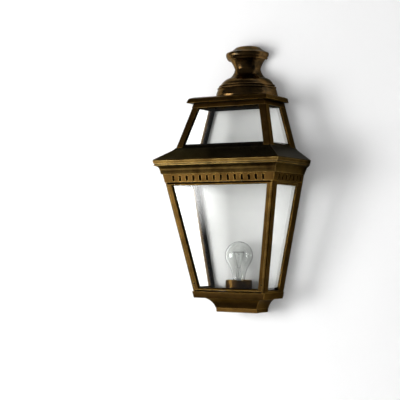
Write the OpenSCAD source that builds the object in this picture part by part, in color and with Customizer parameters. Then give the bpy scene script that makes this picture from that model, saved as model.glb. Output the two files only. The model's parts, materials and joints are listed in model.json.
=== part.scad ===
// Outdoor wall light: a half lantern with a flat back. It has a coved tray, a tapered glazed body,
// a frieze with blind slots, a cornice and hip roof, a small glazed crown and a half-turned chimney.
// Millimetres. X runs along the wall, the wall is the plane Y = 0 and the lantern stands out to -Y.
// Heights are measured up from the underside of the foot. The whole light is then lowered by the
// height of its wall fixings, so that the origin lies on the wall, midway between the two fixings.

/* [Back plate] */
// Thickness of the back plate
back_t = 3; // [2:0.5:4]
// Height of the two wall fixings above the foot
fix_h = 290; // [284:1:300]
// Distance between the two wall fixings
fix_spacing = 160; // [100:5:190]
// Radius of each wall fixing hole
fix_hole_r = 3.25; // [2:0.25:5]
// Height of the cable entry above the foot
cable_h = 17; // [15:0.5:18]
// Radius of the hole for the cable gland
cable_hole_r = 8; // [7:0.5:9]

/* [Tray] */
// Width across the foot
foot_w = 98; // [94:1:104]
// Height of the upright band round the foot
foot_band_h = 8.6; // [6:0.2:11]
// Height of the foot, up to the underside of the flange
foot_h = 30.6; // [29:0.2:32]
// How far the cove is hollowed
cove_rise = 3.4; // [2:0.2:5]
// How far the top of the cove lies inside the flange
cove_in = 15.8; // [12:0.2:20]
// How far the flange draws in from its top to its underside
flange_draft = 2.9; // [2:0.1:5]
// How far the flange stands out from the body
flange_out = 1.1; // [0.8:0.1:4]
// Thickness of the flange
flange_h = 14.4; // [13:0.2:17]
// Wall of the tray casting
tray_wall = 3.5; // [2.5:0.25:4]

/* [Body] */
// Width across the body where it stands on the tray
body_low_w = 172.2; // [164:0.2:190]
// Width across the body under the frieze
body_high_w = 261.6; // [250:0.2:264]
// Height of the glazed body
body_h = 231.6; // [210:0.2:245]
// Thickness of the post legs
post_t = 5; // [4:0.25:6]
// Bevel along the corner of each front post
post_bevel = 2.5; // [1:0.25:3]
// Length of a front post's leg along the side
side_leg = 17; // [15.5:0.5:20]
// Length of a rear post's leg along the side
rear_leg = 20; // [17:0.5:24]
// Width of a rear post's leg along the back plate
back_leg_w = 16; // [12:0.5:20]
// Thickness of that leg
back_leg_t = 3; // [2:0.25:4]
// Thickness of every pane
pane_t = 3; // [2:0.25:4]
// Width of the retaining frame behind a pane
retainer_w = 7; // [5:0.5:8]
// Thickness of the retaining frame
retainer_t = 1.5; // [1:0.25:2]
// Thickness of the reflector sheets
reflector_t = 1.2; // [0.8:0.1:2]

/* [Front flap] */
// Width of the front post's strip beside the flap
strip_w = 5; // [4:0.25:6]
// Gap between the flap and the posts
flap_gap = 1; // [0.8:0.1:1.5]
// Thickness of the flap frame
flap_t = 9; // [8:0.25:10]
// Width of the flap's stiles
stile_w = 10; // [9:0.5:13]
// Height of the flap's top rail
top_rail_h = 6; // [5.5:0.25:8]
// Height of the flap's bottom rail
bottom_rail_h = 4; // [3.5:0.25:6]
// Depth of the flap's front lip, in front of the glass
flap_lip = 4.5; // [3.5:0.25:5]
// Bevel round the window, along the front of that lip
window_bevel = 2; // [1:0.25:2.5]
// Overlap of the glass behind that lip
glass_lap = 2.5; // [2:0.25:3]
// Gap under the flap, which it needs as it swings past the tray
drop_gap = 2.8; // [2.7:0.1:4]
// Gap between the flap and the frieze
head_gap = 0.6; // [0.4:0.1:1]
// Radius of the hinge pins
pin_r = 1.25; // [1:0.05:1.5]

/* [Frieze and cornice] */
// Height of the frieze
frieze_h = 17.4; // [17:0.2:24]
// Wall of the frieze
frieze_wall = 8; // [7:0.5:10]
// Number of blind slots along the front
slot_count = 14; // [10:1:15]
// Distance from one slot to the next
slot_pitch = 16.6; // [14:0.1:17]
// Width of a slot
slot_w = 6.2; // [4:0.1:7]
// Height of a slot
slot_h = 13.2; // [9:0.2:14]
// Depth of a slot
slot_depth = 4; // [1.5:0.25:4.5]
// Height of the rails over the side panes
side_rail_h = 7.6; // [5:0.2:10]
// How far the cornice stands out from the top of the body
cornice_out = 19.2; // [17:0.1:22]
// Height of the cornice
cornice_h = 29.3; // [27:0.1:34]

/* [Roof and crown] */
// Rise of the roof slope
roof_rise = 22.2; // [18:0.2:26]
// Rise of the steep step at the top of the roof
roof_step = 5.3; // [4:0.1:7]
// How far the roof slope draws in from the cornice
roof_in = 31; // [28:0.5:33]
// How far the steep step draws in from the slope
step_in = 4.7; // [3:0.1:6]
// Wall of the roof casting
roof_wall = 3.5; // [2.5:0.25:4.5]
// How far the crown draws in from the roof to its plate
crown_in = 27.6; // [24:0.2:31]
// Height of the crown, roof to plate
crown_h = 97.4; // [88:0.2:106]
// Width of a front crown post's leg along the front
front_leg = 16; // [14:0.5:18]
// Height of the rail under the crown plate
crown_rail_h = 10.2; // [8:0.2:13]
// How far the crown plate stands out from the crown
plate_out = 11.3; // [8:0.1:14]
// Height of the crown plate's edge
plate_edge_h = 9.6; // [8:0.2:12]
// How far that edge leans in
plate_edge_in = 3.6; // [2:0.1:5]
// Height of the bevel on top of it
plate_bevel_h = 3.1; // [2:0.1:4]
// How far the bevel draws in
plate_bevel_in = 8; // [6:0.5:10]

/* [Chimney] */
// Radius of the chimney's foot
bell_r = 71; // [64:0.5:73]
// Height of the bell, up to its shoulder
bell_h = 43.5; // [38:0.5:48]
// Radius of the neck
neck_r = 29; // [25:0.2:31]
// Height of the neck, from the shoulder to the cap
neck_h = 21.7; // [18:0.1:26]
// Radius of the cap
cap_r = 49; // [44:0.1:52]
// Height of the cap
cap_h = 51.5; // [47:0.1:55]
// Wall of the chimney castings
chimney_wall = 3; // [2.5:0.25:4]
// Radius of the rod that clamps the chimney down
rod_r = 3; // [2.5:0.25:3.5]

/* [Lamp] */
// Distance from the wall to the lamp's axis
lamp_out = 40; // [39:0.5:43]
// Radius of the lampholder cup
cup_r = 28.5; // [27:0.25:31]
// Height of the lampholder cup above the tray
cup_h = 24; // [22:0.5:26]
// Wall of the cup
cup_wall = 2; // [1.5:0.25:2.5]
// Radius of the bulb
bulb_r = 30; // [26:0.5:31]
// Whole length of the bulb, cap and glass
bulb_l = 110; // [104:0.5:116]
// Wall of the bulb's glass
bulb_wall = 0.8; // [0.6:0.1:1]

/* [Hidden] */
$fn = 48;

// Clearances
fit_gap = 0.3;    // pieces laid in beside each other
run_gap = 0.06;   // hinge pin in its bore
seat_gap = 0.05;  // faces that rest on each other
reach = 1;        // how far a cut runs past the face it starts from
hair = 0.01;      // least climb between two levels of a block
arris = 1;        // small bevel along a cast edge
root_l = 2;       // how far a sill or rail is rooted in its casting
big = 400;        // larger than the light

// Widths that follow from the body
flange_w = body_low_w + 2 * flange_out;
flange_low_w = flange_w - 2 * flange_draft;
cove_w = flange_low_w - 2 * cove_in;
cornice_w = body_high_w + 2 * cornice_out;
roof_step_w = cornice_w - 2 * roof_in;
crown_low_w = roof_step_w - 2 * step_in;
crown_high_w = crown_low_w - 2 * crown_in;
plate_w = crown_high_w + 2 * plate_out;
plate_top_w = plate_w - 2 * (plate_edge_in + plate_bevel_in);

// Small screws, with shares of the head for the driver's slot and the head's taper
screw_r = 1.5;
screw_head_r = 2.8;
driver_w = 0.24;
driver_depth = 0.25;
head_taper = 0.8;

// Heights above the foot
tray_top = foot_h + flange_h;
frieze_z = tray_top + body_h;
cornice_z = frieze_z + frieze_h;
roof_z = cornice_z + cornice_h;
step_z = roof_z + roof_rise;
crown_z = step_z + roof_step;
rail_z = crown_z + crown_h - crown_rail_h;
plate_z = crown_z + crown_h;
bell_z = plate_z + plate_edge_h + plate_bevel_h;
shoulder_z = bell_z + bell_h;
cap_z = shoulder_z + neck_h;
top_z = cap_z + cap_h;

// Tapers
body_lean = atan((body_high_w - body_low_w) / 2 / body_h);
crown_lean = -atan((crown_low_w - crown_high_w) / 2 / crown_h);
body_up = body_h / cos(body_lean);
crown_up = crown_h / cos(crown_lean);

// The flap, measured in its own leaning plane
pocket_d = (flap_t + fit_gap) / cos(body_lean);
lip_t = 2.5;
lip_w = 12;
pin_z = frieze_z - head_gap - flap_t / 2;
pin_up = (pin_z - tray_top - flap_t / 2 * sin(body_lean)) / cos(body_lean);
flap_low = drop_gap / cos(body_lean);
window_low = flap_low + bottom_rail_h;
window_high = pin_up + flap_t / 2 - top_rail_h;
pin_cover = 1.2;
pin_deep = post_t - pin_cover;
pin_play = 0.5;
stile_wall = 3.5;
pin_bore_l = stile_w - stile_wall;

// The lamp
lamp_y = -lamp_out;
lamp_sink = 3;
lamp_foot = tray_top - lamp_sink;
bulb_top = lamp_foot + bulb_l;
bulb_mid = bulb_top - bulb_r;
edison_r = 13.2;
shell_t = 0.5;
cup_top = tray_top + cup_h;

bronze = "#5d4422";
dark_bronze = "#2c2210";
sheet_silver = "#c6c8ca";
clear_glass = [0.85, 0.92, 0.92, 0.35];
steel = "#8f8f8c";
brass = "#b08d3c";
porcelain = "#ecebe4";
black_rubber = "#222222";

// Width across the body and across the crown at a height
function body_w(z) = body_low_w + (body_high_w - body_low_w) * (z - tray_top) / body_h;
function crown_w(z) = crown_low_w + (crown_high_w - crown_low_w) * (z - crown_z) / crown_h;

// A point of the cornice's outline, as shares of the way out from the frieze and up to the roof
function cornice_at(outward, up) =
    let (low = body_w(cornice_z) / 2)
    [low + outward * (cornice_w / 2 - low), cornice_z + up * cornice_h];

function backwards(list) = [for (i = [len(list) - 1:-1:0]) list[i]];

// Points of an arc from one point to another that rises from its chord, on the left of the way
function bow(from, to, rise, steps) =
    let (
        chord = norm(to - from),
        along = (to - from) / chord,
        left = [-along[1], along[0]],
        radius = (chord * chord / 4 + rise * rise) / (2 * rise),
        half = asin(chord / 2 / radius)
    )
    [for (i = [0:steps])
        let (turn = half * (2 * i / steps - 1))
        (from + to) / 2 + along * radius * sin(turn) + left * (radius * cos(turn) - radius + rise)];

// A half-round bead between two points of an outline
function bead(from, to, steps) = bow(from, to, -norm(to - from) / 2.2, steps);

// Lowers what is measured from the foot to the frame of the wall fixings
module hung() translate([0, 0, -fix_h]) children();

// A solid skinned over closed loops that have the same number of points
module skin(loops) {
    n = len(loops[0]);
    last = (len(loops) - 1) * n;
    walls = [for (k = [0:n:last - n], j = [0:n - 1])
        [k + n + j, k + n + (j + 1) % n, k + (j + 1) % n, k + j]];
    ends = [[for (j = [0:n - 1]) j], [for (j = [n - 1:-1:0]) last + j]];
    polyhedron([for (loop = loops) each loop], concat(walls, ends), 4);
}

// A closed outline of [half width, height] swept round the right, front and left of the plan
module half_ring(outline) {
    skin([
        [for (p = outline) [p[0], -back_t, p[1]]],
        [for (p = outline) [p[0], -back_t - p[0], p[1]]],
        [for (p = outline) [-p[0], -back_t - p[0], p[1]]],
        [for (p = outline) [-p[0], -back_t, p[1]]]
    ]);
}

// A solid half-square block whose half width follows an outline that only climbs
module half_block(outline, rear) {
    skin([for (p = outline) [
        [-p[0], rear, p[1]],
        [-p[0], -back_t - p[0], p[1]],
        [p[0], -back_t - p[0], p[1]],
        [p[0], rear, p[1]]
    ]]);
}

// A front post: its section is [inward from the side, inward from the front]
module front_post(low, high, section) {
    skin([for (level = [low, high])
        [for (p = backwards(section))
            [level[0] / 2 - p[0], -back_t - level[0] / 2 + p[1], level[1]]]]);
}

// A rear post: its section is [inward from the side, forward from the back plate]
module rear_post(low, high, section) {
    skin([for (level = [low, high])
        [for (p = section) [level[0] / 2 - p[0], -back_t - p[1], level[1]]]]);
}

// Lays a drawing on a leaning face: X along it, Y up the slope and Z outward
module on_face(turn, low_w, low_z, lean) {
    translate([0, -back_t, low_z]) rotate([0, 0, turn]) translate([0, -low_w / 2, 0])
        rotate([90 + lean, 0, 0]) children();
}

module on_body(turn) on_face(turn, body_low_w, tray_top, body_lean) children();
module on_crown(turn) on_face(turn, crown_low_w, crown_z, crown_lean) children();

// Half the width of a leaning face at a distance up its slope
function body_half(up) = body_low_w / 2 + up * sin(body_lean);
function crown_half(up) = crown_low_w / 2 + up * sin(crown_lean);

// Four corners of a leaf between two distances up the slope
function front_leaf(half_low, half_high, low, high) =
    [[-half_low, low], [half_low, low], [half_high, high], [-half_high, high]];
function side_leaf(half_low, half_high, rear, low, high) =
    [[-half_low, low], [-rear, low], [-rear, high], [-half_high, high]];

module slab(outline, face, thick) translate([0, 0, face - thick]) linear_extrude(thick) polygon(outline);

// A flat frame: an outline with the same outline inset taken out of it
module frame_slab(outline, border, face, thick) {
    translate([0, 0, face - thick]) linear_extrude(thick) difference() {
        polygon(outline);
        offset(delta = -border) polygon(outline);
    }
}

module rod(from, to, r) {
    way = to - from;
    translate(from) rotate([0, acos(way[2] / norm(way)), atan2(way[1], way[0])])
        cylinder(h = norm(way), r = r);
}

module mirrored_pair() {
    children();
    mirror([1, 0, 0]) children();
}

// A pan-head screw that stands with its head at the origin and its shank pointing down
module pan_screw(shank_r, length, head_r, head_h) {
    difference() {
        union() {
            translate([0, 0, -length]) cylinder(h = length + head_h / 2, r = shank_r);
            cylinder(h = head_h, r1 = head_r, r2 = head_r * head_taper);
        }
        translate([-head_r, -head_r * driver_w / 2, head_h / 2])
            cube([2 * head_r, head_r * driver_w, head_h]);
    }
}

// A countersunk screw with the top of its head at the origin
module flush_screw(shank_r, length, head_r) {
    difference() {
        union() {
            translate([0, 0, -length]) cylinder(h = length, r = shank_r);
            translate([0, 0, shank_r - head_r]) cylinder(h = head_r - shank_r, r1 = shank_r, r2 = head_r);
        }
        translate([-head_r, -head_r * driver_w / 2, -head_r * driver_depth])
            cube([2 * head_r, head_r * driver_w, head_r]);
    }
}

// The hole for a countersunk screw, with room round it
module flush_hole(shank_r, length, head_r) {
    translate([0, 0, -length]) cylinder(h = length + reach, r = shank_r + seat_gap);
    translate([0, 0, shank_r - head_r])
        cylinder(h = head_r - shank_r + reach, r1 = shank_r + seat_gap, r2 = head_r + reach + seat_gap);
}

// Outline of the tray, from the foot up to the middle of its top
quirk = 1.2;
cove_line = bow([foot_w / 2 + quirk, foot_band_h + quirk / 3], [cove_w / 2, foot_h], cove_rise, 7);
tray_outline = concat(
    [[foot_w / 2 - arris, 0], [foot_w / 2, arris], [foot_w / 2 + quirk / 2, foot_band_h]],
    cove_line,
    [[flange_low_w / 2, foot_h + hair], [flange_low_w / 2 + arris / 2, foot_h + arris],
     [flange_w / 2, tray_top - arris], [flange_w / 2 - arris, tray_top]]
);
// Its hollow, which the cover closes from below
hollow_w = foot_w - 2 * tray_wall;
hollow_z = foot_h + tray_wall;
wide_hollow_w = flange_low_w - 2 * tray_wall;
tray_roof_z = tray_top - tray_wall;
tray_hollow = concat(
    [[hollow_w / 2, -reach], [hollow_w / 2, foot_band_h + 2 * arris]],
    bow([(hollow_w + arris) / 2, foot_band_h + 3 * arris], [cove_w / 2 - tray_wall, hollow_z], cove_rise, 5),
    [[wide_hollow_w / 2, hollow_z + hair], [wide_hollow_w / 2, tray_roof_z]]
);
tray_sill_h = 3;
// The cover, and the bosses for its screws
cover_z = 1.5;
cover_t = 2;
cover_screw_l = 11;
drain_r = 2.5;
boss_r = 4;
boss_gap = 3;
boss_x = hollow_w / 2 - 1.5 * boss_r;
boss_y = -back_t - boss_r - boss_gap;
boss_l = tray_roof_z - cover_z - cover_t;
holder_hole_r = 20.6;

module base_tray() {
    sill_t = post_t * cos(body_lean);
    color(bronze) hung() difference() {
        union() {
            difference() {
                half_block(tray_outline, -back_t);
                half_block(tray_hollow, reach);
            }
            // Sills in front of the side panes
            mirrored_pair() on_body(90) translate([side_leg - body_half(0), -root_l, -sill_t])
                cube([body_half(0) - side_leg - rear_leg, root_l + tray_sill_h, sill_t]);
            // Bosses for the cover's screws, joined to the casting's side walls
            mirrored_pair() translate([boss_x, boss_y, cover_z + cover_t]) {
                cylinder(h = boss_l + reach, r = boss_r);
                translate([0, -boss_r, 0])
                    cube([hollow_w / 2 - boss_x + reach, 2 * boss_r, foot_band_h - cover_z - cover_t]);
            }
        }
        translate([0, lamp_y, tray_roof_z - reach]) cylinder(h = tray_wall + 2 * reach, r = holder_hole_r);
        mirrored_pair() translate([boss_x, boss_y, cover_z])
            cylinder(h = cover_screw_l + 2 * screw_r, r = screw_r + seat_gap);
        mirrored_pair() translate([screw_x, lamp_y, tray_roof_z - reach])
            cylinder(h = tray_wall + 2 * reach, r = screw_r + seat_gap);
        back_screw_holes();
    }
}

module base_cover() {
    half = hollow_w / 2 - fit_gap;
    color(dark_bronze) hung() difference() {
        translate([-half, -back_t - half, cover_z]) cube([2 * half, half - fit_gap, cover_t]);
        mirrored_pair() translate([boss_x, boss_y, cover_z + cover_t]) mirror([0, 0, 1])
            translate([0, 0, cover_t]) flush_hole(screw_r, cover_t + reach, screw_head_r);
        // Drain hole
        translate([0, -back_t - half / 2, cover_z - reach]) cylinder(h = cover_t + 2 * reach, r = drain_r);
    }
}

module base_cover_screws() {
    color(steel) hung() mirrored_pair() translate([boss_x, boss_y, cover_z]) mirror([0, 0, 1])
        flush_screw(screw_r, cover_screw_l, screw_head_r);
}

// Heights at which the back plate is screwed to the castings
low_screw_z = tray_top + body_h * 0.12;
high_screw_z = frieze_z - body_h * 0.12;
frieze_screw_z = frieze_z + frieze_h * 0.4;
crown_screw_z = crown_z + crown_h * 0.15;
top_screw_z = rail_z - crown_h * 0.1;
// The screws' places: [half spacing, height]
back_screw_spots = [
    [(wide_hollow_w + flange_w) / 4, (hollow_z + tray_roof_z) / 2],
    [(body_w(low_screw_z) - back_leg_w) / 2, low_screw_z],
    [(body_w(high_screw_z) - back_leg_w) / 2, high_screw_z],
    [(body_w(frieze_screw_z) - frieze_wall) / 2, frieze_screw_z],
    [(crown_w(crown_screw_z) - back_leg_w) / 2, crown_screw_z],
    [(crown_w(top_screw_z) - back_leg_w) / 2, top_screw_z]
];
back_screw_l = back_t + back_leg_t - reach / 2;

module at_back_screws() {
    for (spot = back_screw_spots)
        mirrored_pair() translate([spot[0], 0, spot[1]]) rotate([-90, 0, 0]) children();
}

module back_screw_holes() at_back_screws() flush_hole(screw_r, back_screw_l + reach, screw_head_r);

module back_screws() {
    color(steel) hung() at_back_screws() flush_screw(screw_r, back_screw_l, screw_head_r);
}

// Right half of the back plate's outline, from the foot up
plate_outline = [
    [foot_w / 2 - arris, 0], [foot_w / 2, arris], [foot_w / 2, foot_band_h], each cove_line,
    [flange_low_w / 2, foot_h], [flange_w / 2, tray_top - arris], [flange_w / 2 - arris, tray_top],
    [body_low_w / 2, tray_top], [body_w(cornice_z) / 2, cornice_z],
    cornice_at(0.24, 0.25), cornice_at(0.41, 0.48), cornice_at(0.75, 0.61), cornice_at(0.88, 0.78),
    [cornice_w / 2, roof_z], [roof_step_w / 2, step_z], [crown_low_w / 2, crown_z],
    [crown_high_w / 2, plate_z], [plate_w / 2 - arris, plate_z],
    [plate_w / 2 - plate_edge_in, plate_z + plate_edge_h], [plate_top_w / 2, bell_z]
];

module back_plate() {
    both = concat(plate_outline, [for (p = backwards(plate_outline)) [-p[0], p[1]]]);
    color(dark_bronze) hung() difference() {
        rotate([90, 0, 0]) linear_extrude(back_t) polygon(both);
        for (x = [-fix_spacing / 2, fix_spacing / 2])
            plate_hole(x, fix_h, fix_hole_r);
        plate_hole(0, cable_h, cable_hole_r);
        plate_hole(earth_x, cable_h, earth_r);
        back_screw_holes();
    }
}

module plate_hole(x, z, r)
    translate([x, reach, z]) rotate([90, 0, 0]) cylinder(h = back_t + 2 * reach, r = r);

module reflector(low_w, high_w, low_z, high_z) {
    inset = post_t + fit_gap;
    color(sheet_silver) hung() translate([0, -back_t - back_leg_t - seat_gap, 0]) rotate([90, 0, 0])
        linear_extrude(reflector_t)
            polygon([[inset - low_w / 2, low_z], [low_w / 2 - inset, low_z],
                     [high_w / 2 - inset, high_z], [inset - high_w / 2, high_z]]);
}

reflector_front = back_leg_t + seat_gap + reflector_t;
module body_reflector()
    reflector(body_low_w, body_w(frieze_z - fit_gap), tray_top + seat_gap, frieze_z - fit_gap);
module crown_reflector()
    reflector(crown_w(crown_z), crown_w(rail_z), crown_z + seat_gap, rail_z - fit_gap);

// Section of a front body post: corner strip, pocket for the flap, lip behind it and side leg
front_section = [
    [post_bevel, 0], [strip_w, 0], [strip_w, pocket_d], [lip_w, pocket_d], [lip_w, pocket_d + lip_t],
    [post_t, pocket_d + lip_t], [post_t, side_leg], [0, side_leg], [0, post_bevel]
];
rear_section = [
    [0, 0], [back_leg_w, 0], [back_leg_w, back_leg_t], [post_t, back_leg_t], [post_t, rear_leg],
    [0, rear_leg]
];
crown_section = [
    [post_bevel, 0], [front_leg, 0], [front_leg, post_t], [post_t, post_t], [post_t, side_leg],
    [0, side_leg], [0, post_bevel]
];
// Where the captive screws hold the foot of the flap
catch_up = window_low + stile_w;
catch_head_r = 2.6;
catch_in = strip_w + flap_gap + catch_head_r + fit_gap;
catch_play = 0.4;

module pin_axis(x) translate([x, 0, pin_z]) translate([0, -back_t - body_w(pin_z) / 2 + pin_back, 0])
    rotate([0, 90, 0]) children();
// Distance of the pin's axis behind the front face, level with it
pin_back = flap_t / 2 / cos(body_lean);

module right_front_post() {
    difference() {
        front_post([body_low_w, tray_top], [body_high_w, frieze_z], front_section);
        pin_axis(body_w(pin_z) / 2 - post_t - reach) cylinder(h = pin_deep + reach, r = pin_r);
        on_body(0) translate([body_half(catch_up) - catch_in, catch_up, -flap_t - lip_t * 2])
            cylinder(h = lip_t * 2, r = screw_r + catch_play);
    }
}
module post_front_right() color(bronze) hung() right_front_post();
module post_front_left() color(bronze) hung() mirror([1, 0, 0]) right_front_post();

module right_rear_post() {
    difference() {
        rear_post([body_low_w, tray_top], [body_high_w, frieze_z], rear_section);
        back_screw_holes();
    }
}
module post_rear_right() color(bronze) hung() right_rear_post();
module post_rear_left() color(bronze) hung() mirror([1, 0, 0]) right_rear_post();

// Panes lie against the inside of the post legs
body_recess = -post_t * cos(body_lean) - seat_gap;
crown_recess = -post_t * cos(crown_lean) - seat_gap;
side_front = pocket_d + lip_t + fit_gap;
side_rear = reflector_front + fit_gap;
pane_deep = post_t + pane_t + retainer_t + fit_gap;
pane_lift = 1;
body_foot = fit_gap + pane_lift;
body_top = body_up - pane_deep * tan(body_lean) - fit_gap;
body_side_leaf = side_leaf(body_half(body_foot) - side_front, body_half(body_top) - side_front, side_rear,
    body_foot, body_top);

module side_pane_right() color(clear_glass) hung() on_body(90) slab(body_side_leaf, body_recess, pane_t);
module side_pane_left() color(clear_glass) mirror([1, 0, 0]) side_pane_right();
module side_retainer_right() color(dark_bronze) hung() on_body(90)
    frame_slab(body_side_leaf, retainer_w, body_recess - pane_t - seat_gap, retainer_t);
module side_retainer_left() color(dark_bronze) mirror([1, 0, 0]) side_retainer_right();

flap_edge = strip_w + flap_gap;
flap_outline = front_leaf(body_half(flap_low) - flap_edge, body_half(pin_up) - flap_edge, flap_low, pin_up);
window_outline = front_leaf(body_half(window_low) - flap_edge - stile_w,
    body_half(window_high) - flap_edge - stile_w, window_low, window_high);
flap_glass = offset_leaf(glass_lap - fit_gap);
function offset_leaf(by) = front_leaf(body_half(window_low - by) - flap_edge - stile_w + by,
    body_half(window_high + by) - flap_edge - stile_w + by, window_low - by, window_high + by);

module flap_frame() {
    head_half = body_half(pin_up) - flap_edge;
    color(bronze) hung() on_body(0) difference() {
        union() {
            slab(flap_outline, 0, flap_t);
            translate([-head_half, pin_up, -flap_t / 2]) rotate([0, 90, 0])
                cylinder(h = 2 * head_half, r = flap_t / 2);
        }
        slab(window_outline, reach, flap_t + 2 * reach);
        skin([for (step = [0, 1]) let (out = step * (window_bevel + reach))
            [for (p = offset_leaf(out)) [p[0], p[1], out - window_bevel]]]);
        slab(offset_leaf(glass_lap), -flap_lip, flap_t);
        mirrored_pair() translate([head_half - pin_bore_l, pin_up, -flap_t / 2]) rotate([0, 90, 0])
            cylinder(h = pin_bore_l + reach, r = pin_r + run_gap);
        mirrored_pair() translate([body_half(catch_up) - catch_in, catch_up, 0])
            flush_hole(screw_r, flap_t + reach, catch_head_r);
    }
}
module flap_pane() color(clear_glass) hung() on_body(0) slab(flap_glass, -flap_lip - seat_gap, pane_t);
module flap_retainer() {
    face = flap_lip + pane_t + 2 * seat_gap;
    color(dark_bronze) hung() on_body(0) frame_slab(flap_glass, glass_lap, -face, flap_t - face);
}
module flap_screws() color(steel) hung() on_body(0) mirrored_pair()
    translate([body_half(catch_up) - catch_in, catch_up, 0])
        flush_screw(screw_r, flap_t + lip_t - fit_gap, catch_head_r);
module hinge_pins() color(steel) hung() mirrored_pair()
    pin_axis(body_w(pin_z) / 2 - flap_edge - pin_bore_l + pin_play)
        cylinder(h = pin_bore_l - pin_play + flap_gap + strip_w - post_t + pin_deep, r = pin_r);

// A blind slot with round ends, drawn upright on a face
module slot_cut() {
    arm = (slot_h - slot_w) / 2;
    translate([0, 0, -slot_depth]) {
        translate([-slot_w / 2, -arm, 0]) cube([slot_w, 2 * arm, slot_depth + reach]);
        for (y = [-arm, arm]) translate([0, y, 0]) cylinder(h = slot_depth + reach, r = slot_w / 2);
    }
}

// Heights of the slots, and the place of the first slot on each side, as shares
slot_rise = 0.45;
slot_start = 0.6;
rail_bead_r = 1.6;

module frieze() {
    low = body_w(frieze_z) / 2;
    high = body_w(cornice_z) / 2;
    slot_up = (body_h + frieze_h * slot_rise) / cos(body_lean);
    slot_end = (slot_count - 1) / 2;
    side_slots = floor(slot_count / 2);
    rail_low = body_up - side_rail_h;
    rail_front = body_half(rail_low) - side_leg - seat_gap;
    rail_rear = rear_leg + seat_gap;
    rail_side = side_leaf(rail_front, body_half(body_up + root_l) - side_leg - seat_gap, rail_rear,
        rail_low, body_up + root_l);
    color(bronze) hung() difference() {
        union() {
            half_ring([[low - frieze_wall, frieze_z], [low, frieze_z], [high, cornice_z],
                       [high - frieze_wall, cornice_z]]);
            // Rails over the side panes, each with a bead along it
            mirrored_pair() on_body(90) {
                slab(rail_side, 0, post_t * cos(body_lean));
                translate([-rail_front, body_up - rail_bead_r, 0]) rotate([0, 90, 0])
                    cylinder(h = rail_front - rail_rear, r = rail_bead_r, $fn = 24);
            }
        }
        for (i = [0:slot_count - 1])
            on_body(0) translate([(i - slot_end) * slot_pitch, slot_up, 0]) slot_cut();
        for (i = [0:side_slots - 1])
            mirrored_pair() on_body(90) translate([-(i + slot_start) * slot_pitch, slot_up, 0]) slot_cut();
        back_screw_holes();
    }
}

// From below: a plain band, a cove, a bead over a groove and the upright fascia
module cornice() {
    inner = body_w(cornice_z) / 2 - frieze_wall;
    color(bronze) hung() half_ring([
        [inner, cornice_z], cornice_at(0.15, 0), cornice_at(0.19, 0.027), cornice_at(0.25, 0.25),
        each bow(cornice_at(0.29, 0.28), cornice_at(0.77, 0.6), cornice_h * 0.075, 6),
        each bead(cornice_at(0.79, 0.605), cornice_at(0.85, 0.7), 4),
        cornice_at(0.82, 0.706), cornice_at(0.82, 0.752), cornice_at(0.91, 0.765),
        cornice_at(1, 0.966), [cornice_w / 2 - arris, roof_z],
        cornice_at(0.24, 1), cornice_at(0.12, 0.727), [inner, cornice_at(0, 0.205)[1]]
    ]);
}

roof_seat = 11;
roof_sill_h = 4.5;

module roof() {
    edge = cornice_w / 2;
    knee = roof_step_w / 2;
    foot = crown_low_w / 2;
    inner = foot - front_leg - arris;
    rail_t = post_t * cos(crown_lean);
    sill_half = crown_half(roof_sill_h);
    color(dark_bronze) hung() union() {
        half_ring([
            [edge - roof_seat, roof_z], [edge - arris, roof_z], [edge, roof_z + arris], [knee, step_z],
            [foot, crown_z], [inner, crown_z], [inner, crown_z - roof_wall],
            [foot - roof_wall, crown_z - roof_wall], [knee - 1.7 * roof_wall, step_z - roof_wall]
        ]);
        // Sills round the crown panes
        on_crown(0) translate([front_leg - sill_half, -root_l, -rail_t])
            cube([2 * sill_half - 2 * front_leg, roof_sill_h + root_l, rail_t]);
        mirrored_pair() on_crown(90) translate([side_leg - sill_half, -root_l, -rail_t])
            cube([sill_half - side_leg - rear_leg, roof_sill_h + root_l, rail_t]);
    }
}

module right_crown_front()
    front_post([crown_low_w, crown_z], [crown_w(rail_z), rail_z], crown_section);
module right_crown_rear() {
    difference() {
        rear_post([crown_low_w, crown_z], [crown_w(rail_z), rail_z], rear_section);
        back_screw_holes();
    }
}
module crown_post_front_right() color(bronze) hung() right_crown_front();
module crown_post_front_left() color(bronze) hung() mirror([1, 0, 0]) right_crown_front();
module crown_post_rear_right() color(bronze) hung() right_crown_rear();
module crown_post_rear_left() color(bronze) hung() mirror([1, 0, 0]) right_crown_rear();

pane_play = 1;
crown_drop = 3;
crown_clear = post_t + pane_t + pane_play;
crown_side_clear = crown_clear + retainer_t + pane_play;
crown_top = crown_up - crown_drop;
crown_foot = pane_deep * tan(-crown_lean) + fit_gap;
crown_front_leaf = front_leaf(crown_half(crown_foot) - crown_clear, crown_half(crown_top) - crown_clear,
    crown_foot, crown_top);
crown_side_leaf = side_leaf(crown_half(crown_foot) - crown_side_clear,
    crown_half(crown_top) - crown_side_clear, side_rear, crown_foot, crown_top);

module crown_pane_front() color(clear_glass) hung() on_crown(0) slab(crown_front_leaf, crown_recess, pane_t);
module crown_pane_right() color(clear_glass) hung() on_crown(90) slab(crown_side_leaf, crown_recess, pane_t);
module crown_pane_left() color(clear_glass) mirror([1, 0, 0]) crown_pane_right();
module crown_retainer_front() color(dark_bronze) hung() on_crown(0)
    frame_slab(crown_front_leaf, retainer_w, crown_recess - pane_t - seat_gap, retainer_t);
module crown_retainer_right() color(dark_bronze) hung() on_crown(90)
    frame_slab(crown_side_leaf, retainer_w, crown_recess - pane_t - seat_gap, retainer_t);
module crown_retainer_left() color(dark_bronze) mirror([1, 0, 0]) crown_retainer_right();

module crown_rail() {
    low = crown_w(rail_z) / 2;
    high = crown_w(plate_z) / 2;
    color(bronze) hung() half_ring([[low - post_t, rail_z], [low, rail_z], [high, plate_z],
                                    [high - post_t, plate_z]]);
}

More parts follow.
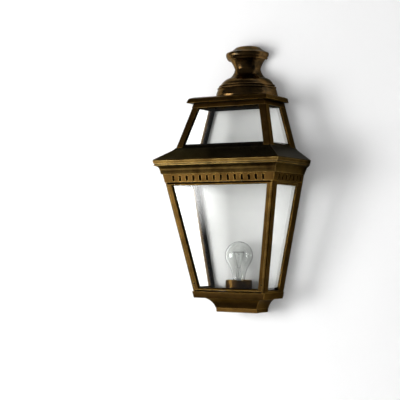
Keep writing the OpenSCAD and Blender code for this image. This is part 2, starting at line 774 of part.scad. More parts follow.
plate_skin = 4.5;
plate_rear = 3;
high_inside = crown_w(plate_z) / 2 - post_t - pane_play;
vent_in = 18;
vent_r = 7;
rod_out = 10;
rod_y = -back_t - rod_out;
module crown_plate() {
    half = plate_w / 2;
    through_h = bell_z - plate_z + reach;
    color(dark_bronze) hung() difference() {
        half_block([[half - arris, plate_z], [half, plate_z + arris],
                    [half - plate_edge_in, plate_z + plate_edge_h], [plate_top_w / 2, bell_z]], -back_t);
        half_block([[high_inside, plate_z - reach], [high_inside, bell_z - plate_skin]],
            -back_t - plate_rear);
        translate([0, rod_y, plate_z]) cylinder(h = through_h, r = rod_r + fit_gap);
        // Vents into the chimney
        mirrored_pair() translate([vent_in, -back_t - vent_in, plate_z]) cylinder(h = through_h, r = vent_r);
    }
}

// A point of the bell's outline, as shares of the way in from its foot to the neck and up to its shoulder
function bell_at(inward, up) = [bell_r - inward * (bell_r - neck_r), bell_z + up * bell_h];
// A point of the cap's outline, as shares of the way out from the neck to its rim and up to its top
function cap_at(outward, up) = [neck_r + outward * (cap_r - neck_r), cap_z + up * cap_h];

// Turned outline of the bell and its neck, from the foot up
bell_side = concat(
    [bell_at(0.02, 0), bell_at(0, 0.028), bell_at(0, 0.14)],
    bow(bell_at(0.019, 0.165), bell_at(0.107, 0.437), bell_h * -0.014, 3),
    bead(bell_at(0.112, 0.45), bell_at(0.162, 0.55), 4),
    bead(bell_at(0.19, 0.572), bell_at(0.24, 0.665), 4),
    bow(bell_at(0.262, 0.685), bell_at(0.405, 0.87), bell_h * -0.014, 3),
    bow(bell_at(0.42, 0.885), bell_at(0.725, 1.04), bell_h * -0.026, 4),
    bow(bell_at(0.738, 1.055), [neck_r, cap_z], bell_h * 0.05, 7)
);

// Cuts a turned piece flat where it meets the wall
module at_wall() {
    difference() {
        translate([0, -back_t, 0]) children();
        translate([-big, 0, -big]) cube([2 * big, big, 4 * big]);
    }
}

module chimney_bell() {
    // The hollow follows the outside, a wall further in and down
    hollow = [for (p = bell_side) if (p[1] > bell_z + chimney_wall)
        [p[0] - chimney_wall, p[1] - chimney_wall * 0.9]];
    color(dark_bronze) hung() at_wall() difference() {
        rotate_extrude() polygon(concat([[0, bell_z]], bell_side, [[0, cap_z]]));
        rotate_extrude() polygon(concat([[0, bell_z - reach], [bell_r - chimney_wall, bell_z - reach]],
            hollow, [[neck_r - chimney_wall, cap_z + reach], [0, cap_z + reach]]));
    }
}

// Turned outline of the cap, from the neck up to the middle of its top
cap_foot = cap_z + seat_gap;
crest_r = cap_r * 0.56;
cap_side = concat(
    bow([neck_r, cap_foot], cap_at(0.4, 0.31), cap_h * 0.012, 6),
    [cap_at(0.555, 0.385)],
    bead(cap_at(0.575, 0.395), cap_at(0.83, 0.465), 4),
    bow(cap_at(0.9, 0.48), cap_at(0.965, 0.655), cap_h * -0.022, 5),
    bow(cap_at(0.93, 0.67), [crest_r, cap_z + cap_h * 0.905], cap_h * 0.022, 5),
    bow([crest_r * 0.97, cap_z + cap_h * 0.915], [0, top_z], cap_h * -0.024, 5)
);

boss_foot = cap_z + cap_h * 0.28;
boss_bore = cap_h * 0.36;
boss_wall = 3;
module chimney_cap() {
    dome_z = top_z - 1.5 * chimney_wall;
    color(dark_bronze) hung() at_wall() difference() {
        union() {
            difference() {
                rotate_extrude() polygon(concat([[0, cap_foot]], cap_side));
                rotate_extrude() polygon(concat(
                    [[0, cap_z - reach], [neck_r - chimney_wall, cap_z - reach]],
                    bow([neck_r - chimney_wall, cap_z], cap_at(0.22, 0.31), cap_h * 0.012, 4),
                    [cap_at(0.38, 0.42), cap_at(0.72, 0.54), cap_at(0.72, 0.61),
                     [crest_r - arris, dome_z - 1.5 * chimney_wall], [0, dome_z]]));
            }
            at_rod(boss_foot) cylinder(h = dome_z - boss_foot, r = rod_r + boss_wall);
        }
        at_rod(boss_foot - reach) cylinder(h = boss_bore + reach, r = rod_r + seat_gap);
    }
}
module at_rod(z) translate([0, -rod_out, z]) children();

nut_h = 4;
nut_r = rod_r * 2;
nut_z = bell_z - plate_skin - nut_h;
rod_foot = nut_z - rod_r;
module chimney_rod() color(steel) hung() translate([0, rod_y, rod_foot])
    cylinder(h = boss_foot + boss_bore - seat_gap - rod_foot, r = rod_r);
module chimney_nuts() color(steel) hung() difference() {
    translate([0, rod_y, nut_z - seat_gap]) cylinder(h = nut_h, r = nut_r, $fn = 6);
    translate([0, rod_y, nut_z - reach]) cylinder(h = nut_h + 2 * reach, r = rod_r + seat_gap);
}

gland_bore_r = 4;
gland_wall = 1.2;
gland_lap = 2;
gland_flange_t = 2.5;
gland_neck_h = 4.5;
module cable_gland() {
    neck_z = back_t + gland_flange_t;
    color(black_rubber) hung() translate([0, 0, cable_h]) rotate([90, 0, 0]) difference() {
        union() {
            cylinder(h = back_t + reach, r = cable_hole_r - seat_gap);
            translate([0, 0, back_t + seat_gap]) cylinder(h = gland_flange_t, r = cable_hole_r + gland_lap);
            translate([0, 0, neck_z])
                cylinder(h = gland_neck_h, r1 = cable_hole_r - arris, r2 = gland_bore_r + gland_wall);
        }
        translate([0, 0, -reach]) cylinder(h = neck_z + gland_neck_h + 2 * reach, r = gland_bore_r);
    }
}

// Three-way terminal block on its side in the foot
block_l = 30;
block_d = 14;
block_z = cover_z + cover_t + fit_gap;
block_h = 20;
block_y = -back_t - 19;
lead_x = 10;
cell_w = 9.2;
web_in = 4;
terminal_r = 2;
terminal_l = 3;
terminal_depth = 4;
terminal_up = 7;
wire_play = 0.2;
module terminal_block() {
    color(porcelain) hung() difference() {
        union() {
            for (x = [-lead_x, 0, lead_x])
                translate([x - cell_w / 2, block_y - block_d, block_z]) cube([cell_w, block_d, block_h]);
            translate([-block_l / 2, block_y - block_d, block_z + web_in])
                cube([block_l, block_d, block_h - 2 * web_in]);
        }
        for (x = [-lead_x, 0, lead_x]) {
            translate([x, block_y - block_d / 2, block_z + block_h - 2 * web_in])
                cylinder(h = 2 * web_in + reach, r = lead_r + wire_play);
            translate([x, block_y - block_d + terminal_depth, block_z + terminal_up]) rotate([90, 0, 0])
                cylinder(h = terminal_depth + reach, r = terminal_r);
        }
    }
}
module terminal_screws() color(brass) hung() for (x = [-lead_x, 0, lead_x])
    translate([x, block_y - block_d + terminal_depth - seat_gap, block_z + terminal_up]) rotate([90, 0, 0])
        cylinder(h = terminal_l, r = terminal_r - 2 * seat_gap);

earth_x = 24;
earth_r = 2;
washer_t = 1.4;
nut_w = 1.8;
module earth_screw() {
    color(brass) hung() translate([earth_x, 0, cable_h]) rotate([90, 0, 0]) {
        translate([0, 0, wire_play]) cylinder(h = back_t + 3 * earth_r, r = earth_r - seat_gap);
        translate([0, 0, back_t + seat_gap]) cylinder(h = washer_t, r = (nut_w + 0.5) * earth_r);
        translate([0, 0, back_t + washer_t]) cylinder(h = 1.2 * earth_r, r = nut_w * earth_r, $fn = 6);
    }
}

holder_lift = 0.8;
holder_low = hollow_z + holder_lift;
holder_r = 19.8;
socket_deep = 2.5;
socket_floor = lamp_foot - socket_deep;
shell_play = 0.25;
shell_inner = edison_r + 0.15;
screw_x = 24;
// The leads stand in holes in the block and in the lampholder
lead_r = 1.4;
lead_depth = 3;
module holder_leads() color(black_rubber) hung() for (x = [-lead_x, lead_x])
    translate([x, block_y - block_d / 2, block_z + block_h - 2 * lead_depth])
        cylinder(h = holder_low - block_z - block_h + 3 * lead_depth - reach, r = lead_r);

module lampholder_cup() {
    color(bronze) hung() translate([0, lamp_y, tray_top]) difference() {
        union() {
            cylinder(h = cup_h, r = cup_r);
            cylinder(h = cup_wall, r = cup_r + arris);
        }
        translate([0, 0, cup_wall]) cylinder(h = cup_h, r = cup_r - cup_wall);
        translate([0, 0, -reach]) cylinder(h = 2 * cup_wall + reach, r = holder_hole_r);
        for (x = [-screw_x, screw_x])
            translate([x, 0, -reach]) cylinder(h = 3 * cup_wall, r = screw_r + seat_gap);
    }
}

ear_w = 12;
ear_t = 3;
module lampholder_body() {
    color(porcelain) hung() translate([0, lamp_y, 0]) difference() {
        union() {
            translate([0, 0, holder_low]) cylinder(h = cup_top - ear_t - holder_low, r = holder_r);
            // Ears that rest in the cup, each with a screw
            translate([0, 0, tray_top + cup_wall + seat_gap]) intersection() {
                cylinder(h = ear_t, r = cup_r - cup_wall - fit_gap);
                translate([-cup_r, -ear_w / 2, 0]) cube([2 * cup_r, ear_w, ear_t]);
            }
        }
        translate([0, 0, socket_floor]) cylinder(h = 2 * cup_h, r = edison_r + shell_t + shell_play);
        for (x = [-screw_x, screw_x])
            translate([x, 0, tray_top]) cylinder(h = 3 * ear_t, r = screw_r + seat_gap);
        for (x = [-lead_x, lead_x]) translate([x, block_y - block_d / 2 - lamp_y, holder_low - reach])
            cylinder(h = lead_depth + reach, r = lead_r + seat_gap);
    }
}

contact_r = 3;
contact_w = 5;
contact_t = 0.6;
module lampholder_shell() {
    color(brass) hung() translate([0, lamp_y, socket_floor + seat_gap]) difference() {
        cylinder(h = cup_top - ear_t - cup_wall - socket_floor, r = shell_inner + shell_t);
        translate([0, 0, shell_t]) cylinder(h = 2 * cup_h, r = shell_inner);
        translate([0, 0, -reach]) cylinder(h = shell_t + 2 * reach, r = contact_r + contact_w);
    }
}
module lampholder_contact() {
    color(brass) hung() translate([0, lamp_y, socket_floor + seat_gap]) {
        translate([-contact_w / 2, -contact_w, 0]) cube([contact_w, 2 * contact_w, contact_t]);
        translate([0, 0, contact_t / 2])
            cylinder(h = socket_deep - contact_t, r1 = contact_r, r2 = contact_r * 2 / 3);
    }
}
module lampholder_screws() color(steel) hung() for (x = [-screw_x, screw_x])
    translate([x, lamp_y, tray_top + cup_wall + ear_t + 2 * seat_gap])
        pan_screw(screw_r, cup_wall + tray_wall + root_l, 1.5 * screw_r, 1.2 * screw_r);

// Outline of the bulb's glass, from its crown down to its neck, drawn in by the glass's thickness
neck_w = edison_r - 0.7;
neck_flare = 1.6;
flare_z = cup_top + 12;
glass_foot = cup_top - 8;
function bulb_outline(inward) =
    let (ball = bulb_r - inward, neck = neck_w - inward)
    concat(
        [for (turn = [90:-10:-30]) [ball * cos(turn), bulb_mid + ball * sin(turn)]],
        bow([ball * cos(35), bulb_mid - ball * sin(35)], [neck + neck_flare, flare_z], -bulb_r / 25, 5),
        [[neck, cup_top + arris], [neck, glass_foot]]
    );

module bulb_glass() color(clear_glass) hung() translate([0, lamp_y, 0])
    rotate_extrude() polygon(concat(bulb_outline(0), backwards(bulb_outline(bulb_wall))));

// The stem: a flare sealed into the neck, a tube, and a rod with a bead on top
stem_top = bulb_mid - 26;
stem_r = 4.5;
rod_wire_r = 0.8;
module bulb_stem() {
    foot = glass_foot + reach / 2;
    rim = neck_w - bulb_wall - 2 * seat_gap;
    color(clear_glass) hung() translate([0, lamp_y, 0]) rotate_extrude() polygon(concat(
        [[0, foot], [rim, foot], [rim, foot + bulb_wall]],
        bow([2 * stem_r, foot + 2 * bulb_wall], [stem_r, foot + 10 * bulb_wall], bulb_r / 20, 3),
        bow([stem_r, stem_top - stem_r * 0.7], [rod_wire_r, stem_top], -arris, 3),
        [[rod_wire_r, bulb_mid - arris], [1.6 * rod_wire_r, bulb_mid], [0, bulb_mid + arris]]
    ));
}

coil_r = 12;
coil_z = bulb_mid + 7;
coil_wire_r = 0.7;
lead_wire_r = 0.4;
lead_foot_x = 3;
module bulb_filament() {
    color(steel) hung() translate([0, lamp_y, 0]) {
        translate([0, 0, coil_z]) rotate([0, 0, 180]) rotate_extrude(angle = 180)
            translate([coil_r, 0]) circle(coil_wire_r, $fn = 16);
        for (side = [-1, 1])
            rod([side * lead_foot_x, 0, stem_top + 2 * seat_gap], [side * coil_r, 0, coil_z], lead_wire_r);
        rod([0, 0, bulb_mid + 3 * lead_wire_r], [0, -coil_r, coil_z], lead_wire_r);
    }
}

// The cap's contact button, the cone round it and the start of its bore
button_h = 2;
button_r = 6;
cone_h = 4;
cap_floor = 2;
module bulb_cap() {
    sleeve_z = button_h + cone_h;
    color(brass) hung() translate([0, lamp_y, lamp_foot]) difference() {
        union() {
            cylinder(h = button_h, r1 = button_r * 0.75, r2 = button_r);
            translate([0, 0, button_h]) cylinder(h = cone_h, r1 = button_r, r2 = edison_r - shell_t);
            translate([0, 0, sleeve_z]) cylinder(h = cup_top - reach - lamp_foot - sleeve_z, r = edison_r);
        }
        translate([0, 0, sleeve_z + cap_floor]) cylinder(h = cup_h + reach, r = neck_w + 0.1);
    }
}

back_plate();
back_screws();
body_reflector();
crown_reflector();
base_tray();
base_cover();
base_cover_screws();
cable_gland();
terminal_block();
terminal_screws();
earth_screw();
holder_leads();
lampholder_cup();
lampholder_body();
lampholder_shell();
lampholder_contact();
lampholder_screws();
bulb_glass();
bulb_stem();
bulb_filament();
bulb_cap();
post_front_left();
post_front_right();
post_rear_left();
post_rear_right();
side_pane_left();
side_pane_right();
side_retainer_left();
side_retainer_right();
flap_frame();
flap_pane();
flap_retainer();
flap_screws();
hinge_pins();
frieze();
cornice();
roof();
crown_post_front_left();
crown_post_front_right();
crown_post_rear_left();
crown_post_rear_right();
crown_pane_front();
crown_pane_left();
crown_pane_right();
crown_retainer_front();
crown_retainer_left();
crown_retainer_right();
crown_rail();
crown_plate();
chimney_bell();
chimney_cap();
chimney_rod();
chimney_nuts();
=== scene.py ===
"""Dresses the half lantern: its castings, turned chimney, glass, bulb and wiring, on a plain wall."""
import json
import math

import bmesh
import bpy
from bpy.props import FloatProperty, FloatVectorProperty, PointerProperty
from bpy.types import Operator, Panel, PropertyGroup
from mathutils import Matrix, Vector

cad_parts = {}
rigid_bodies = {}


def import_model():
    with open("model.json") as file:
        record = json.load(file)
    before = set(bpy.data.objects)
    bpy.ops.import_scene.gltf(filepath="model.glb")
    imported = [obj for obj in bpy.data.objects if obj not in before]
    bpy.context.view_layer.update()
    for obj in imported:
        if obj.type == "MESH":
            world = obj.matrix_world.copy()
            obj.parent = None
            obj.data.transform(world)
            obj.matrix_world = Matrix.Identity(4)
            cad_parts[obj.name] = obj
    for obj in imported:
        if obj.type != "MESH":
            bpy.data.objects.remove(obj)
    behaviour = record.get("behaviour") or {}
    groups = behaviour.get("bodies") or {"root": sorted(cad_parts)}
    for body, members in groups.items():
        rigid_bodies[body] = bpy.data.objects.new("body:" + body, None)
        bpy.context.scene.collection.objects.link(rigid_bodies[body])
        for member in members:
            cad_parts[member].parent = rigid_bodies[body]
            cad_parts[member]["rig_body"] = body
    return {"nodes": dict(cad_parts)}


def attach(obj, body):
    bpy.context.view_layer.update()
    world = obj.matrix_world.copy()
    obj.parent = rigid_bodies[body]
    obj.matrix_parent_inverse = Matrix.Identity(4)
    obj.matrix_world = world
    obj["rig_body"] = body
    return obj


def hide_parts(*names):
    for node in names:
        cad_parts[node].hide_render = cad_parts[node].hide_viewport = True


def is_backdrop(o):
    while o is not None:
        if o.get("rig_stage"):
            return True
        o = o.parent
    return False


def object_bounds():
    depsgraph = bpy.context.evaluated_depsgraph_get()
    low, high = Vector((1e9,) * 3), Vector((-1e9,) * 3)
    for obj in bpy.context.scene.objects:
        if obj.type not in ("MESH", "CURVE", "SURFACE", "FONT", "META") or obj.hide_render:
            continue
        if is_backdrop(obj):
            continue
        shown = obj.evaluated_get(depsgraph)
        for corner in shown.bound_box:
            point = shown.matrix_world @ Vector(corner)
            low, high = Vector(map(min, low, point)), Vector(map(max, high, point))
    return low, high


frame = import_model()

bl_info = {
    "name": "Half Lantern Wall Light",
    "version": (1, 0, 0),
    "blender": (4, 5, 0),
    "location": "3D Viewport > Sidebar > Wall Light",
    "description": "Finishes a flat-backed outdoor lantern: bronze castings, glass, bulb and lampholder",
    "category": "Object",
}

MM = 0.001

# Points of a mesh that lie nearer than this are one point
SAME_POINT = 0.002 * MM
# Neighbouring faces that part by fewer degrees than this are one flat face
FLAT_TURN = 0.4
# A point this near to the wall's plane is on the lantern's back
ON_BACK = 0.01 * MM

CASTINGS = (
    "base_tray", "frieze", "crown_rail", "crown_plate",
    "post_front_left", "post_front_right", "post_rear_left", "post_rear_right",
    "crown_post_front_left", "crown_post_front_right", "crown_post_rear_left", "crown_post_rear_right",
)
RETAINERS = (
    "side_retainer_left", "side_retainer_right",
    "crown_retainer_front", "crown_retainer_left", "crown_retainer_right",
)
PANES = ("side_pane_left", "side_pane_right", "crown_pane_front", "crown_pane_left", "crown_pane_right")
STEEL_PARTS = (
    "back_screws", "base_cover_screws", "lampholder_screws", "hinge_pins", "chimney_rod", "chimney_nuts",
)

# The materials made so far, by name
made = {}


def linear(colour):
    """An sRGB hex colour as three linear values."""
    parts = [int(colour[i:i + 2], 16) / 255 for i in (1, 3, 5)]
    return tuple(p / 12.92 if p <= 0.04045 else ((p + 0.055) / 1.055) ** 2.4 for p in parts)


def colour_property(name, description, colour):
    return FloatVectorProperty(name=name, description=description, default=linear(colour),
                               subtype="COLOR", size=3, min=0.0, max=1.0)


def size_property(name, description, millimetres):
    return FloatProperty(name=name, description=description, default=millimetres * MM,
                         min=0.0, unit="LENGTH", precision=5)


class LanternSizes(PropertyGroup):
    """Sizes of the lantern's fine detail and of the room round it"""

    cast_edge: size_property("Cast edge", "Radius worn onto the edges of the castings", 0.7)
    sheet_edge: size_property("Sheet edge", "Radius left on the edges of sheet metal", 0.25)
    glass_edge: size_property("Glass edge", "Arris ground along the edges of the panes", 0.3)
    mottle: size_property("Mottling", "Size of the patches in the patina", 26)
    grain: size_property("Casting grain", "Size of the grain left by the mould", 1.6)
    # Crevices also spreads painted shade into slots, grooves and along the panes, besides the patina
    # gathered there
    crevice: size_property("Crevices", "Reach of the dark patina out of slots and grooves", 5)
    # Hollows spreads painted shade into the cornice's cove, besides the patina gathered there
    hollow: size_property("Hollows", "Reach of the dark patina out of the cornice's coves", 24)
    brush: size_property("Brush lines", "Spacing of the lines in the satin sheet", 0.8)
    swell: size_property("Glass waves", "Length of the faint waves in the glass", 60)
    peel: size_property("Glaze", "Size of the orange-peel in the porcelain's glaze", 2.5)
    bloom: size_property("Rubber bloom", "Size of the patches of bloom on the rubber", 3)
    brass_spot: size_property("Brass patches", "Size of the duller patches on the brass", 9)
    steel_spot: size_property("Steel patches", "Size of the duller patches on the plated steel", 6)
    wire_spot: size_property("Wire patches", "Size of the duller patches on the tungsten", 3)
    roller: size_property("Roller marks", "Size of the marks in the paint of the wall and the floor", 4)
    weave: size_property("Drapes", "Size of the folds in the dark cloth", 300)
    floor_drop: size_property("Floor", "How far the floor lies below the lantern", 900)


class LanternColours(PropertyGroup):
    """Colours of the lantern's finishes"""

    patina: colour_property("Patina", "Bronze patina on the castings", "#4B3618")
    rubbed: colour_property("Rubbed bronze", "Bronze where the patina is rubbed back", "#B08C48")
    shade: colour_property("Patina shade", "Darkest part of the patina", "#38270E")
    # The cornice's lighter patina and bright rubbed gold are partly a painted highlight on its fascia
    moulded: colour_property("Cornice patina", "Patina on the cornice, which is rubbed most", "#5E4A25")
    cornice_rubbed_and_painted_highlight: colour_property("Cornice, rubbed", "The cornice where it is rubbed back", "#E6C074")
    # The chimney's lighter bronze is partly a painted highlight
    turned: colour_property("Turned bronze", "Patina on the chimney's bell and cap", "#775B35")
    chimney_rubbed_and_painted_highlight: colour_property("Turned bronze, rubbed", "The same where it is rubbed back", "#A07A48")
    dark_patina: colour_property("Dark patina", "Patina on the roof, back plate and retainers", "#26221A")
    dark_rubbed: colour_property("Dark rubbed bronze", "The same where it is rubbed back", "#6E5A34")
    dark_shade: colour_property("Dark patina shade", "Its darkest part", "#1B1812")
    sheen: colour_property("Edge-on sheen", "What oxide leaves of the bronze's sheen edge on", "#BCBAB5")
    sheet: colour_property("Satin sheet", "Pale lacquer on the sheet of the reflectors", "#D2D2D0")
    glass: colour_property("Glass", "Body tint of the panes", "#FDFEFD")
    pane_shade: colour_property("Glass shadow", "Lamplight that a face of a pane lets through", "#E5E5E5")
    porcelain: colour_property("Porcelain", "Glazed porcelain of the lampholder", "#E9E6DC")
    brass: colour_property("Brass", "Drawn brass of the lampholder and the cap", "#C2A15A")
    nickel: colour_property("Nickelled steel", "Plated screws and pins", "#A9A59C")
    tungsten: colour_property("Tungsten", "Filament and its supports", "#6F6C69")
    rubber: colour_property("Rubber", "Gland and the insulation of the leads", "#232323")
    wall: colour_property("Wall", "Matt white wall", "#F4F4F4")


# Nodes and materials

# The rubbing reaches in from an edge by this many radii of the edge
RUB_REACH = 2.2


def add(tree, kind, settings=None, links=None):
    """Adds a node, sets its properties or input values, and links sockets to its inputs."""
    node = tree.nodes.new(kind)
    for name, value in (settings or {}).items():
        if isinstance(name, str) and hasattr(node, name):
            setattr(node, name, value)
        else:
            node.inputs[name].default_value = value
    for name, socket in (links or {}).items():
        tree.links.new(socket, node.inputs[name])
    return node


def new_material(name):
    """An empty material with its node tree and the object coordinates in metres."""
    material = bpy.data.materials.new(name)
    material.use_nodes = True
    tree = material.node_tree
    tree.nodes.clear()
    place = add(tree, "ShaderNodeTexCoord").outputs["Object"]
    return material, tree, place


def show(tree, shader):
    """Makes a shader the look of the material."""
    add(tree, "ShaderNodeOutputMaterial", links={"Surface": shader})


def opaque(colour):
    """A colour with full alpha, as the sockets take it."""
    return (*colour, 1.0)


def bronze(name, patina, rubbed, shade, roughness, reach, deep):
    """Cast aluminium with a sprayed bronze patina, rubbed back by hand and lacquered.

    The eye sees a warm brown metal with soft darker clouds, a faint mould grain,
    and brighter metal along the edges where the rubbing took the patina off.
    The darkest patina lies in hollows, and painted shade with it: reach is how far out of them
    both come, and deep is the share of the air round a spot that may be open where they are darkest.
    The grain is drawn coarser than it is, so that it shows.
    """
    sizes = bpy.context.scene.lantern_sizes
    sheen = bpy.context.scene.lantern_colours.sheen
    material, tree, place = new_material(name)
    clouds = add(tree, "ShaderNodeTexNoise",
                 {"Scale": 1 / sizes.mottle, "Detail": 4.0, "Roughness": 0.6},
                 {"Vector": place}).outputs["Fac"]
    grain = add(tree, "ShaderNodeTexNoise",
                {"Scale": 1 / sizes.grain, "Detail": 3.0, "Roughness": 0.55},
                {"Vector": place}).outputs["Fac"]
    cloud_mask = add(tree, "ShaderNodeMapRange", {"From Min": 0.34, "From Max": 0.66},
                     {"Value": clouds}).outputs["Result"]
    body = add(tree, "ShaderNodeMix", {"data_type": "RGBA", 6: opaque(shade), 7: opaque(patina)},
               {0: cloud_mask}).outputs[2]
    # Edges: where a softened normal parts from the true one
    soft = add(tree, "ShaderNodeBevel",
               {"samples": 4, "Radius": RUB_REACH * sizes.cast_edge}).outputs["Normal"]
    true = add(tree, "ShaderNodeNewGeometry").outputs["Normal"]
    cosine = add(tree, "ShaderNodeVectorMath", {"operation": "DOT_PRODUCT"},
                 {0: soft, 1: true}).outputs["Value"]
    edge = add(tree, "ShaderNodeMapRange",
               {"From Min": 0.995, "From Max": 0.86, "To Min": 0.0, "To Max": 1.0},
               {"Value": cosine}).outputs["Result"]
    worn = add(tree, "ShaderNodeMapRange",
               {"From Min": 0.36, "From Max": 0.62, "To Min": 0.4, "To Max": 1.0},
               {"Value": clouds}).outputs["Result"]
    rub = add(tree, "ShaderNodeMath", {"operation": "MULTIPLY", "use_clamp": True},
              {0: edge, 1: worn}).outputs[0]
    colour = add(tree, "ShaderNodeMix", {"data_type": "RGBA", 7: opaque(rubbed)},
                 {0: rub, 6: body}).outputs[2]
    # Slots, grooves and corners, where the patina gathered and nobody rubbed; the darkening there is also
    # painted shade, beside the panes too
    open_air_for_patina_and_shade = add(tree, "ShaderNodeAmbientOcclusion", {"samples": 6, "Distance": reach}).outputs["AO"]
    pooled_patina_and_painted_shade = add(tree, "ShaderNodeMapRange",
                 {"From Min": deep, "From Max": 0.95, "To Min": 0.12, "To Max": 1.0},
                 {"Value": open_air_for_patina_and_shade}).outputs["Result"]
    colour = add(tree, "ShaderNodeMix", {"data_type": "RGBA", "blend_type": "MULTIPLY", 0: 1.0},
                 {6: colour, 7: pooled_patina_and_painted_shade}).outputs[2]
    rough = add(tree, "ShaderNodeMapRange", {"To Min": roughness + 0.07, "To Max": roughness - 0.05},
                {"Value": grain}).outputs["Result"]
    bump = add(tree, "ShaderNodeBump", {"Strength": 0.12, "Distance": 0.08 * MM},
               {"Height": grain}).outputs["Normal"]
    show(tree, add(tree, "ShaderNodeBsdfPrincipled", {"Metallic": 1.0, "Specular Tint": opaque(sheen)},
                   {"Base Color": colour, "Roughness": rough, "Normal": bump}).outputs[0])
    return material


def lacquered_sheet(name, colour):
    """Aluminium sheet, brushed and sprayed with a pale satin lacquer.

    The eye sees an even light grey with a soft sheen that is drawn out by fine upright lines.
    """
    sizes = bpy.context.scene.lantern_sizes
    material, tree, place = new_material(name)
    along = add(tree, "ShaderNodeMapping", {"Scale": (1.0, 1.0, 0.03)}, {"Vector": place}).outputs[0]
    lines = add(tree, "ShaderNodeTexNoise", {"Scale": 1 / sizes.brush, "Detail": 2.0},
                {"Vector": along}).outputs["Fac"]
    rough = add(tree, "ShaderNodeMapRange", {"To Min": 0.2, "To Max": 0.3},
                {"Value": lines}).outputs["Result"]
    bump = add(tree, "ShaderNodeBump", {"Strength": 0.05, "Distance": 0.02 * MM},
               {"Height": lines}).outputs[0]
    show(tree, add(tree, "ShaderNodeBsdfPrincipled", {"Base Color": opaque(colour), "IOR": 1.5},
                   {"Roughness": rough, "Normal": bump}).outputs[0])
    return material


def clear_glass(name, colour, wave, roughness=0.01):
    """Clear soda-lime glass, floated, blown or pressed.

    The eye sees what is behind it, under bright reflections with a faint waviness.
    The lamps' light passes it, a little weakened.
    """
    sizes = bpy.context.scene.lantern_sizes
    pane_shade = bpy.context.scene.lantern_colours.pane_shade
    material, tree, place = new_material(name)
    swell = add(tree, "ShaderNodeTexNoise", {"Scale": 1 / sizes.swell, "Detail": 1.0},
                {"Vector": place}).outputs["Fac"]
    bump = add(tree, "ShaderNodeBump", {"Strength": wave, "Distance": 0.3 * MM},
               {"Height": swell}).outputs[0]
    glass = add(tree, "ShaderNodeBsdfPrincipled",
                {"Base Color": opaque(colour), "Roughness": roughness, "IOR": 1.5,
                 "Transmission Weight": 1.0},
                {"Normal": bump}).outputs[0]
    clear = add(tree, "ShaderNodeBsdfTransparent", {"Color": opaque(pane_shade)}).outputs[0]
    to_lamp = add(tree, "ShaderNodeLightPath").outputs["Is Shadow Ray"]
    show(tree, add(tree, "ShaderNodeMixShader", {}, {0: to_lamp, 1: glass, 2: clear}).outputs[0])
    return material


def metal(name, colour, roughness, spot):
    """Turned, drawn or plated metal: an even colour, with faint duller patches of handling."""
    material, tree, place = new_material(name)
    patches = add(tree, "ShaderNodeTexNoise", {"Scale": 1 / spot, "Detail": 3.0},
                  {"Vector": place}).outputs["Fac"]
    rough = add(tree, "ShaderNodeMapRange", {"To Min": roughness - 0.06, "To Max": roughness + 0.12},
                {"Value": patches}).outputs["Result"]
    show(tree, add(tree, "ShaderNodeBsdfPrincipled", {"Metallic": 1.0, "Base Color": opaque(colour)},
                   {"Roughness": rough}).outputs[0])
    return material


def glazed_porcelain(name, colour):
    """Fired porcelain under a clear glaze: off-white, glossy, with a faint orange-peel."""
    sizes = bpy.context.scene.lantern_sizes
    material, tree, place = new_material(name)
    peel = add(tree, "ShaderNodeTexNoise", {"Scale": 1 / sizes.peel, "Detail": 1.0},
               {"Vector": place}).outputs["Fac"]
    bump = add(tree, "ShaderNodeBump", {"Strength": 0.1, "Distance": 0.05 * MM},
               {"Height": peel}).outputs[0]
    show(tree, add(tree, "ShaderNodeBsdfPrincipled",
                   {"Base Color": opaque(colour), "Roughness": 0.16, "IOR": 1.5, "Coat Weight": 0.5},
                   {"Normal": bump}).outputs[0])
    return material


def moulded_rubber(name, colour):
    """Moulded rubber: near black and matt, with a fine bloom."""
    sizes = bpy.context.scene.lantern_sizes
    material, tree, place = new_material(name)
    bloom = add(tree, "ShaderNodeTexNoise", {"Scale": 1 / sizes.bloom, "Detail": 3.0},
                {"Vector": place}).outputs["Fac"]
    rough = add(tree, "ShaderNodeMapRange", {"To Min": 0.6, "To Max": 0.8},
                {"Value": bloom}).outputs["Result"]
    show(tree, add(tree, "ShaderNodeBsdfPrincipled", {"Base Color": opaque(colour), "IOR": 1.52},
                   {"Roughness": rough}).outputs[0])
    return material


